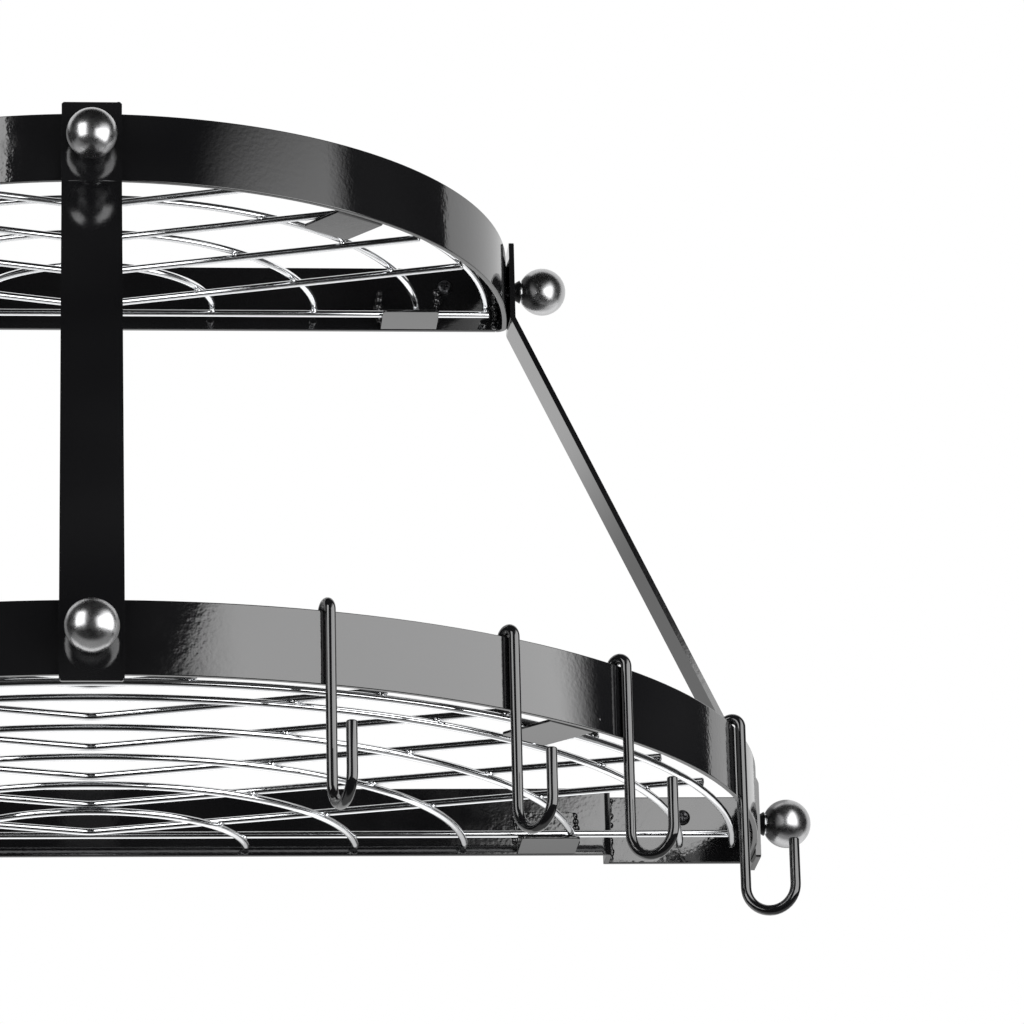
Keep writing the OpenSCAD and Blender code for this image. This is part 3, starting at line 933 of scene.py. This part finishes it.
def recess_arm(wide, high):
    """One arm pair of the cross recess, narrower at its floor."""
    floor_z, floor_half, floor_thin = high * 0.4, wide * 0.2, wide * 0.05
    top_z, top_half, top_thin = high + 1, wide * 0.3, wide * 0.075
    corners = ((-1, -1), (1, -1), (1, 1), (-1, 1))
    return prism(
        "recess",
        [(x * floor_half, y * floor_thin, floor_z) for x, y in corners],
        [(x * top_half, y * top_thin, top_z) for x, y in corners],
    )


def turned_about(height):
    """Turns a part over, head first, and sets its seat at a height."""
    return Matrix.Translation(Vector((0, 0, height)) * MM) @ Matrix.Rotation(math.pi, 4, "X")


def bolt_mesh(name, seat):
    """A bolt whose strap side is z = 0: its head points inward, below the seat."""
    end = BAR_THICK + WASHER_LONG + RING_THICK + BOLT_IN_BALL + seat
    r, tip = BOLT_WIDE / 2, 0.6
    shank = [(r, 0), (r, -end + tip), (r - tip, -end), (0, -end)]
    mesh = pan_head(name, BOLT_HEAD, BOLT_HEAD_HIGH, shank)
    mesh.transform(turned_about(-seat))
    return mesh


for tier, posts in (("upper", upper_posts), ("lower", lower_posts)):
    on_strap = BAR_THICK
    on_washer = on_strap + WASHER_LONG
    on_ring = on_washer + RING_THICK
    balls = placed(f"{tier}_ball_finials", ball_mesh, posts(on_ring), satin)
    dressed(
        smoothed(balls),
        "frame",
        "satin_ball",
        *(f"{tier}_{side}_ball" for side in ("left", "centre", "right")),
    )
    washers = placed(f"{tier}_washers", washer_mesh, posts(on_strap), enamel)
    dressed(smoothed(washers), "frame", "black_enamel", f"{tier}_flared_washers")
    rings = placed(f"{tier}_bright_rings", ring_mesh, posts(on_washer), bright)
    dressed(smoothed(rings), "frame", "bright_wire", f"{tier}_ball_rings")
    side_bolts = placed(
        f"{tier}_side_bolts", bolt_mesh("side_bolt", SIDE_SEAT), posts()[::2], dark
    )
    centre_bolt = placed(
        f"{tier}_centre_bolt", bolt_mesh("centre_bolt", CENTRE_SEAT), posts()[1:2], dark
    )
    dressed(side_bolts, "frame", "dark_screw", f"{tier}_strap_bolts")
    dressed(centre_bolt, "frame", "dark_screw")


# Wall screws
# Four dark pan-head wood screws with a cross recess: a plain neck in the bar, then a coarse
# rolled thread that runs to a sharp point in the wall.
SCREW_HEAD, SCREW_HEAD_HIGH = 8.6, 2.8
SCREW_WIDE, SCREW_NECK, SCREW_CORE = 4.2, 4.7, 3.1
SCREW_REACH = 38
SCREW_POINT = 8.4
THREAD_START = 1.0
THREAD_PITCH = 1.9
THREAD_SIDES = 24
ROWS_A_TURN = 4


def thread_rows():
    """The thread's skin: a core whose radius rises and falls along a helix."""
    rows = []
    long = SCREW_REACH - THREAD_START
    count = int(long / (THREAD_PITCH / ROWS_A_TURN))
    for i in range(count + 1):
        height = THREAD_START + long * i / count
        taper = min(1.0, 0.12 + 0.88 * (SCREW_REACH - height) / SCREW_POINT)
        fade = min(1.0, (height - THREAD_START) / THREAD_PITCH)
        row = []
        for k in range(THREAD_SIDES):
            part = (height / THREAD_PITCH - k / THREAD_SIDES) % 1.0
            crest = max(0.0, 1 - abs(part - 0.5) * 5)
            radius = (SCREW_CORE + (SCREW_WIDE - SCREW_CORE) * crest * fade) / 2 * taper
            angle = math.tau * k / THREAD_SIDES
            row.append((radius * math.cos(angle), radius * math.sin(angle), height))
        rows.append(row)
    return rows


def threaded_shank():
    rows = thread_rows()
    points = [p for row in rows for p in row]
    around = range(THREAD_SIDES)
    faces = [
        (
            r * THREAD_SIDES + k,
            r * THREAD_SIDES + (k + 1) % THREAD_SIDES,
            (r + 1) * THREAD_SIDES + (k + 1) % THREAD_SIDES,
            (r + 1) * THREAD_SIDES + k,
        )
        for r in range(len(rows) - 1)
        for k in around
    ]
    last = (len(rows) - 1) * THREAD_SIDES
    faces += [tuple(reversed(around)), tuple(last + k for k in around)]
    return mesh_of("thread", points, (), faces)


neck = [
    (SCREW_NECK / 2, 0), (SCREW_NECK / 2, -BAR_THICK - 0.05), (SCREW_WIDE / 2, -BAR_THICK - 0.3),
    (SCREW_CORE / 2, -BAR_THICK - 1.2), (0, -BAR_THICK - 1.2),
]
screw_mesh = pan_head("wall_screw", SCREW_HEAD, SCREW_HEAD_HIGH, neck)
screw_mesh.transform(turned_about(-BAR_THICK))
thread_mesh = threaded_shank()
for tier, screw_x, height in (
    ("upper", UPPER_SCREW_X, 0),
    ("lower", LOWER_SCREW_X, LOWER_SCREW_HEIGHT),
):
    places = [at_wall(side * screw_x, height) for side in (-1, 1)]
    heads = placed(f"{tier}_wall_screw_heads", screw_mesh, places, dark)
    dressed(heads, "frame", "dark_screw", f"{tier}_wall_screws")
    threads = placed(f"{tier}_wall_screw_threads", thread_mesh, places, dark)
    dressed(smoothed(threads), "frame", "dark_screw")


# Grid clips and welds
# Each tier has four small angle clips, folded from thin strip and welded by their upright legs
# inside the band and on the back bar, so that their level legs carry the loose grid.
CLIP_WIDE, CLIP_HIGH, CLIP_THICK = 32, 24, 1.5
CLIP_CORNER = 2.5
UPPER_CLIP_REACH, LOWER_CLIP_REACH = 31, 36
CLIP_BEND = 1.0
UPPER_CLIP_TURN, LOWER_CLIP_TURN = 38.5, 42
UPPER_BACK_CLIP_X, LOWER_BACK_CLIP_X = 181.9, 252
UPPER_CLIP_CHORD, LOWER_CLIP_CHORD = 234.856, 364.549
# Drop radius and drop spacing of each kind of weld
CLIP_WELD, CORNER_WELD, TAB_WELD = (2.8, 3.6), (1.9, 2.3), (1.7, 2.2)
# Where the upright seams stand in plan, and their ends above the bar's lower edge
CORNER_SEAM, TAB_SEAM = (231.6, -4.4), (290.1, -4.0)
SEAM_FROM, SEAM_TO = 2, 36


def clip_mesh(reach):
    """Seen from its end as an L with a rounded fold, then drawn out to the clip's width."""
    outer, half = CLIP_BEND + CLIP_THICK, CLIP_WIDE / 2
    fold = (-outer, outer)
    side = (
        [(-reach, 0)]
        + arc(fold, outer, -90, 0, 5)
        + [(0, CLIP_HIGH), (-CLIP_THICK, CLIP_HIGH)]
        + arc(fold, CLIP_BEND, 0, -90, 5)
        + [(-reach, CLIP_THICK)]
    )
    clip = shown("clip", prism("clip", *([(x, y, z) for x, z in side] for y in (-half, half))))
    work = bmesh.new()
    work.from_mesh(clip.data)
    corners = [
        e
        for e in work.edges
        if all(abs(abs(v.co.y) - half * MM) < 1e-6 for v in e.verts)
        and e.verts[0].co.y * e.verts[1].co.y > 0
        and (
            all(abs(v.co.x + reach * MM) < 1e-6 for v in e.verts)
            or all(abs(v.co.z - CLIP_HIGH * MM) < 1e-6 for v in e.verts)
        )
    ]
    bmesh.ops.bevel(
        work, geom=corners, offset=CLIP_CORNER * MM, segments=4, profile=0.5, affect="EDGES"
    )
    work.to_mesh(clip.data)
    work.free()
    eased(clip, 0.3, 60)
    mesh = clip.data
    bpy.data.objects.remove(clip)
    return mesh


def clip_places(underside, turn, chord, centre_y, back_x, back_front):
    """Two clips on the curved front and two on the back bar. A clip's fold line is its place."""
    places = []
    for side in (-1, 1):
        angle = math.radians(side * turn - 90)
        spot = Vector((chord * math.cos(angle), centre_y + chord * math.sin(angle), underside))
        places.append(Matrix.Translation(spot * MM) @ Matrix.Rotation(angle, 4, "Z"))
        spot = Vector((side * back_x, -back_front, underside))
        places.append(Matrix.Translation(spot * MM) @ Matrix.Rotation(math.radians(90), 4, "Z"))
    return places


def clip_seams(places):
    """The two upright edges of each clip, where it is welded."""
    return [
        [tuple(place @ (Vector((-0.4, y, z)) * MM) / MM) for z in (7, CLIP_HIGH - 2)]
        for place in places
        for y in (-CLIP_WIDE / 2 - 0.3, CLIP_WIDE / 2 + 0.3)
    ]


def side_seams(seam, underside):
    """An upright seam at each side of the rack."""
    x, y = seam
    return [[(side * x, y, underside + z) for z in (SEAM_FROM, SEAM_TO)] for side in (-1, 1)]


for tier, reach, places in (
    (
        "upper",
        UPPER_CLIP_REACH,
        clip_places(
            UPPER_UNDERSIDE, UPPER_CLIP_TURN, UPPER_CLIP_CHORD, 0, UPPER_BACK_CLIP_X, BAR_THICK
        ),
    ),
    (
        "lower",
        LOWER_CLIP_REACH,
        clip_places(
            LOWER_UNDERSIDE,
            LOWER_CLIP_TURN,
            LOWER_CLIP_CHORD,
            -END_RUN,
            LOWER_BACK_CLIP_X,
            BACK_GAP + BAR_THICK,
        ),
    ),
):
    clips = placed(f"{tier}_angle_clips", clip_mesh(reach), places, enamel)
    dressed(clips, "frame", "black_enamel", f"{tier}_clips")
    seed = {"upper": 3, "lower": 8}[tier]
    beads = welded(f"{tier}_clip_welds", clip_seams(places), *CLIP_WELD, seed)
    dressed(beads, "frame", "black_enamel")

# The welds inside the upper band's corners, and those that join the lower back bar's legs to
# the inner ends of the wall tabs.
corner_seams = side_seams(CORNER_SEAM, UPPER_UNDERSIDE)
corner_beads = welded("upper_corner_welds", corner_seams, *CORNER_WELD, 5)
dressed(corner_beads, "frame", "black_enamel")
tab_seams = side_seams(TAB_SEAM, LOWER_UNDERSIDE)
tab_beads = welded("lower_tab_welds", tab_seams, *TAB_WELD, 9)
dressed(tab_beads, "frame", "black_enamel")


# Wire grids
# Chromed steel wire: rings open toward the wall, vees with their points toward it, and one
# straight back wire, welded where they cross. Each grid lies loose on its four clips.
GRID_WIRE = 4
# Radii of the ring wires, and how far ahead of the wall each vee's point lies
UPPER_RINGS = [69, 127.5, 186, 226]
UPPER_VEES = [33, 85.5, 138, 190.5]
LOWER_RINGS = [86, 146.5, 207, 267.5, 326.5, 355.5]
LOWER_VEES = [48, 107, 166, 225, 284, 343]
# The outermost ring's centre, ahead of the wall
UPPER_RIM_Y, LOWER_RIM_Y = 4, 6
DAB_RADIUS = 2.1
RING_END_GAP = 6
RING_LEAD = 15
BACK_WIRE_GAP = 17
VEE_SLOPE = math.radians(18)
VEE_BEND = 14
LAYER_LOW, LAYER_HIGH = 3.8, 7.5


def wire_tree():
    """Round wire along centre lines, with its cut ends eased by the line's own girth."""
    tree, given = geometry_tree(
        "round wire along a line",
        {
            "Centre lines": "Geometry",
            "Wire diameter": "Float",
            "Sides": "Int",
            "Finish": "Material",
        },
    )
    line = node(tree, "GeometryNodeMeshToCurve", {"Mesh": given["Centre lines"]})
    girth = node(tree, "GeometryNodeInputNamedAttribute", {"Name": "girth"}, data_type="FLOAT")
    wide = times(tree, girth.outputs[0], given["Wire diameter"])
    section = node(
        tree,
        "GeometryNodeCurvePrimitiveCircle",
        {"Resolution": given["Sides"], "Radius": 0.5},
        mode="RADIUS",
    )
    swept = node(
        tree,
        "GeometryNodeCurveToMesh",
        {
            "Curve": line.outputs[0],
            "Profile Curve": section.outputs[0],
            "Scale": wide,
            "Fill Caps": True,
        },
    )
    close_tree(tree, swept.outputs[0], given["Finish"])
    return tree


wire_along = wire_tree()


def eased_ends(run, wide):
    """Adds points near both ends of a line, with the girth that rounds the cut wire."""
    run = [Vector(p) for p in run]
    girths = [1.0] * len(run)
    for way in (0, -1):
        end, inner = (run[0], run[1]) if way == 0 else (run[-1], run[-2])
        along = (inner - end).normalized()
        extra = [end, end + along * wide * 0.05, end + along * wide * 0.16]
        sizes = [0.72, 0.92, 1.0]
        if way == 0:
            run, girths = extra + run[1:], sizes + girths[1:]
        else:
            run, girths = run[:-1] + extra[::-1], girths[:-1] + sizes[::-1]
    return run, girths


def wire(name, runs, wide, finish, sides=20):
    """One mesh of round wire along lines of points in space."""
    eased_runs = [eased_ends(run, wide) for run in runs]
    lines = line_mesh(name, [run for run, _ in eased_runs])
    girth = lines.attributes.new("girth", "FLOAT", "POINT")
    girth.data.foreach_set("value", [g for _, girths in eased_runs for g in girths])
    made = grown(
        name, wire_along, lines, {"Wire diameter": wide * MM, "Sides": sides, "Finish": finish}
    )
    made.data.shade_smooth()
    return made


def dab_tree():
    """A small squashed dab of weld metal at every point."""
    tree, given = geometry_tree(
        "weld dabs", {"Places": "Geometry", "Radius": "Float", "Finish": "Material"}
    )
    size = node(
        tree,
        "FunctionNodeRandomValue",
        {0: (0.85, 0.85, 0.8), 1: (1.1, 1.1, 1.05), "Seed": 4},
        data_type="FLOAT_VECTOR",
    )
    scaled = node(
        tree,
        "ShaderNodeVectorMath",
        {0: size.outputs[0], "Scale": given["Radius"]},
        operation="SCALE",
    )
    dab = node(tree, "GeometryNodeMeshIcoSphere", {"Radius": 1.0, "Subdivisions": 2})
    put = node(
        tree,
        "GeometryNodeInstanceOnPoints",
        {"Points": given["Places"], "Instance": dab.outputs[0], "Scale": scaled.outputs[0]},
    )
    close_tree(tree, put.outputs[0], given["Finish"])
    return tree


weld_dabs = dab_tree()


def ring_centre(radius, radii, rim_y):
    """A ring's centre from the wall: the rim's own, and further ahead for the smaller rings."""
    share = (radii[-1] - radius) / (radii[-1] - radii[0])
    return rim_y + RING_LEAD * share**1.5


def ring_run(radius, centre_y, end_y, height):
    """A ring wire open toward the wall, from one end to the other."""
    open_angle = math.degrees(math.asin((end_y - centre_y) / radius))
    points = arc_points((0, -centre_y), radius, -open_angle, open_angle - 180, math.radians(2.5))
    return [(x, y, height) for x, y in points]


def vee_run(ahead, arm, height):
    """A vee wire bent round a soft point, with arms sloping forward to both sides."""
    set_back = VEE_BEND * math.tan(VEE_SLOPE / 2)
    out = Vector((math.cos(VEE_SLOPE), -math.sin(VEE_SLOPE)))
    centre = (0, -ahead - set_back * math.sin(VEE_SLOPE) - VEE_BEND * math.cos(VEE_SLOPE))
    half_turn = math.degrees(VEE_SLOPE)
    bend = arc_points(centre, VEE_BEND, 90 - half_turn, 90 + half_turn, math.radians(6))
    right = (out.x * arm, -ahead + out.y * arm)
    left = (-right[0], right[1])
    return [(x, y, height) for x, y in [right, *bend, left]]


def vee_arm(rim_y, rim, ahead):
    """Length of an arm, from the vee's point to the outside of the rim wire."""
    near = (ahead - rim_y) * math.cos(VEE_SLOPE)
    return math.sqrt((rim + GRID_WIRE / 2) ** 2 - near**2) - (ahead - rim_y) * math.sin(VEE_SLOPE)


def crossings(rim_y, end_y, radii, aheads):
    """Where rings cross vees, in plan: distances from the middle and from the wall."""
    slope = math.tan(VEE_SLOPE)
    spots = []
    for radius in radii:
        centre_y = ring_centre(radius, radii, rim_y)
        for ahead in aheads:
            # The arm is ahead + |x| * slope from the wall, and the ring is a circle
            a = 1 + slope**2
            b = 2 * (ahead - centre_y) * slope
            c = (ahead - centre_y) ** 2 - radius**2
            inside = b**2 - 4 * a * c
            if inside <= 0:
                continue
            for sign in (-1, 1):
                x = (-b + sign * math.sqrt(inside)) / (2 * a)
                if x > 1 and ahead + x * slope > end_y:
                    spots += [(x, -ahead - x * slope), (-x, -ahead - x * slope)]
    return spots


def grid(tier, underside, bar_front, rim_y, radii, aheads, rings_on_top):
    rim = radii[-1]
    ring_z = underside + (LAYER_HIGH if rings_on_top else LAYER_LOW)
    vee_z = underside + (LAYER_LOW if rings_on_top else LAYER_HIGH)
    end_y = bar_front + RING_END_GAP
    back_y = bar_front + BACK_WIRE_GAP
    body = f"{tier}_grid"
    rings = wire(
        f"{tier}_ring_wires",
        [ring_run(r, ring_centre(r, radii, rim_y), end_y, ring_z) for r in radii],
        GRID_WIRE,
        bright,
    )
    dressed(rings, body, "bright_wire", f"{tier}_grid_rings")
    vees = wire(
        f"{tier}_vee_wires",
        [vee_run(ahead, vee_arm(rim_y, rim, ahead), vee_z) for ahead in aheads],
        GRID_WIRE,
        bright,
    )
    dressed(vees, body, "bright_wire", f"{tier}_grid_vees")
    half = math.sqrt((rim + GRID_WIRE / 2) ** 2 - (back_y - rim_y) ** 2)
    back = wire(
        f"{tier}_back_wire",
        [[(x, -back_y, vee_z) for x in (-half, -half / 2, 0, half / 2, half)]],
        GRID_WIRE,
        bright,
    )
    dressed(back, body, "bright_wire", f"{tier}_grid_back_wire")
    spots = crossings(rim_y, end_y, radii, aheads)
    for radius in radii:
        x = math.sqrt(radius**2 - (back_y - ring_centre(radius, radii, rim_y)) ** 2)
        spots += [(x, -back_y), (-x, -back_y)]
    between = underside + (LAYER_LOW + LAYER_HIGH) / 2
    dabs = grown(
        f"{tier}_wire_welds",
        weld_dabs,
        mesh_of("dabs", [(x, y, between) for x, y in spots]),
        {"Radius": DAB_RADIUS * MM, "Finish": bright},
    )
    dabs.data.shade_smooth()
    dressed(dabs, body, "bright_wire")


grid("upper", UPPER_UNDERSIDE, BAR_THICK, UPPER_RIM_Y, UPPER_RINGS, UPPER_VEES, True)
lower_front = BACK_GAP + BAR_THICK
grid("lower", LOWER_UNDERSIDE, lower_front, LOWER_RIM_Y, LOWER_RINGS, LOWER_VEES, False)


# Hooks
# Eight steel wires, each bent to a short leg, a tight top, a long shank and a round open foot,
# and then dipped in a black coat. They hang loose over the lower band.
HOOK_WIRE = 5.6
HOOK_TURNS = (18.4, 34.8, 47.5, 69)
HOOK_LEG_R, HOOK_SHANK_R = 361.6, 371.1
HOOK_TOP_Z, HOOK_BOTTOM_Z = -303.5, -391.7
HOOK_TIP_Z, HOOK_LEG_Z = -367, -314.5
HOOK_BEND_WIDE = 27

# A thick smooth dip coat, glossier than the bar, with slow ripples
coating = mottled(
    "black_coating",
    (ENAMEL_BLACK, ENAMEL_SOFTER),
    (80, 1.0),
    (200, 0.04, 0.08),
    ((170, 1.0), 0.15, 0.04),
    IOR=GLOSS_BLACK_IOR,
)


def hook_run(turn):
    """The hook's centre line, from its short leg to its tip, at its angle on the band."""
    top_mid = (HOOK_LEG_R + HOOK_SHANK_R) / 2
    top_bend = (HOOK_SHANK_R - HOOK_LEG_R) / 2
    low_mid = HOOK_SHANK_R + HOOK_BEND_WIDE / 2
    step = math.radians(8)
    side = (
        [(HOOK_LEG_R, HOOK_LEG_Z)]
        + arc_points((top_mid, HOOK_TOP_Z), top_bend, 180, 0, step)
        + arc_points((low_mid, HOOK_BOTTOM_Z), HOOK_BEND_WIDE / 2, 180, 360, step)
        + [(HOOK_SHANK_R + HOOK_BEND_WIDE, HOOK_TIP_Z)]
    )
    angle = math.radians(turn - 90)
    return [(r * math.cos(angle), -END_RUN + r * math.sin(angle), z) for r, z in side]


for side, way in (("right", 1), ("left", -1)):
    for number, turn in enumerate(HOOK_TURNS, 1):
        hook = wire(f"{side}_hook_{number}", [hook_run(way * turn)], HOOK_WIRE, coating, 24)
        dressed(hook, f"hook_{side}_{number}", "black_wire", f"hook_{side}_{number}")
